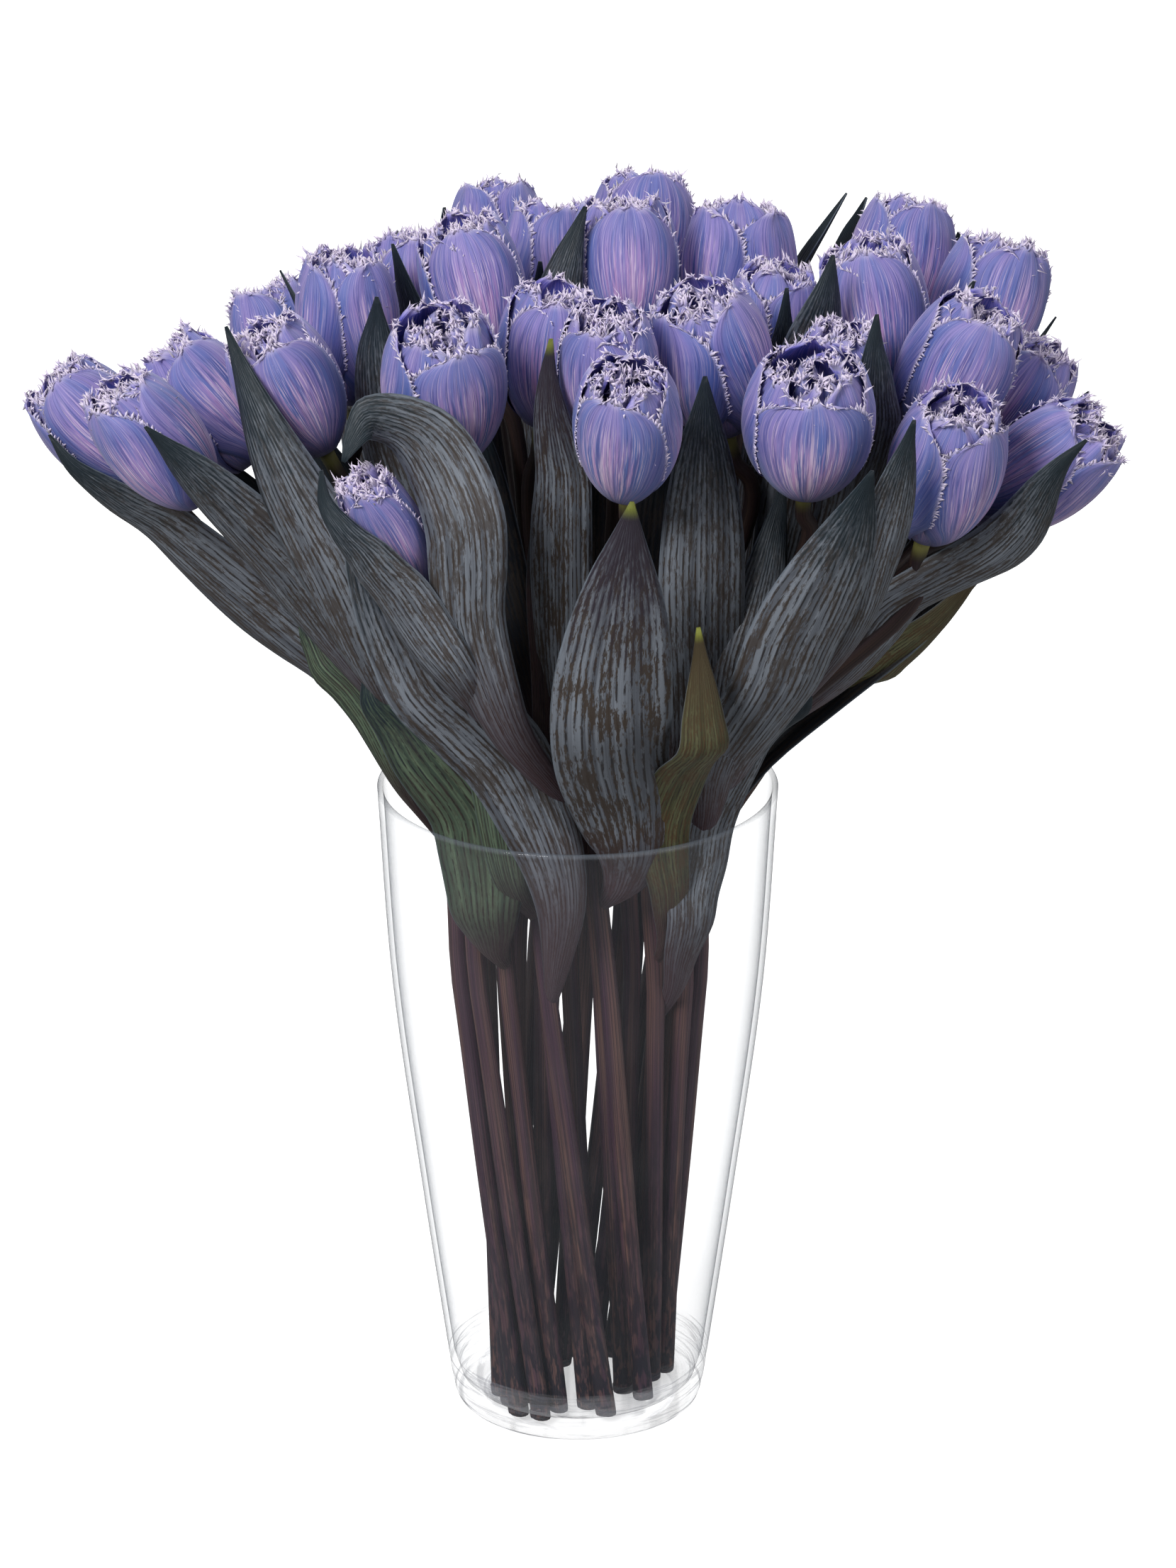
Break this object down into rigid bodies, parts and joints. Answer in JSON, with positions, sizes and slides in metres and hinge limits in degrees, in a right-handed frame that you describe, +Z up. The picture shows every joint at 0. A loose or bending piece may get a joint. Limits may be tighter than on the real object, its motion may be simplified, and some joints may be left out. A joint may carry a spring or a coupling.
{
  "type": "fringed tulips in a glass vase",
  "caption": "Fringed tulips with long leaves, standing in a tall tapering clear glass vase.",
  "frame": {"origin": "middle of the vase's foot, on the surface it stands on", "axes": "+Z up along the vase's axis, -Y towards the viewer, +X to the viewer's right"},
  "size_m": [0.4844, 0.3538, 0.5702],
  "materials": {
    "glass": "clear gloss",
    "petal": "satin petal",
    "leaf": "dull leaf"
  },
  "bodies": {
    "root": {"bloom_01": "petal", "bloom_02": "petal", "bloom_03": "petal", "bloom_04": "petal", "bloom_05": "petal", "bloom_06": "petal", "bloom_07": "petal", "bloom_08": "petal", "bloom_09": "petal", "bloom_10": "petal", "bloom_11": "petal", "bloom_12": "petal", "bloom_13": "petal", "bloom_14": "petal", "bloom_15": "petal", "bloom_16": "petal", "bloom_17": "petal", "bloom_18": "petal", "bloom_19": "petal", "bloom_20": "petal", "bloom_21": "petal", "bloom_22": "petal", "bloom_23": "petal", "bloom_24": "petal", "bloom_25": "petal", "bloom_26": "petal", "bloom_27": "petal", "bloom_28": "petal", "bloom_29": "petal", "leafy_stem_01": "leaf", "leafy_stem_03": "leaf", "leafy_stem_08": "leaf", "leafy_stem_10": "leaf", "leafy_stem_11": "leaf", "leafy_stem_29": "leaf", "vase": "glass"}
  },
  "joints": []
}
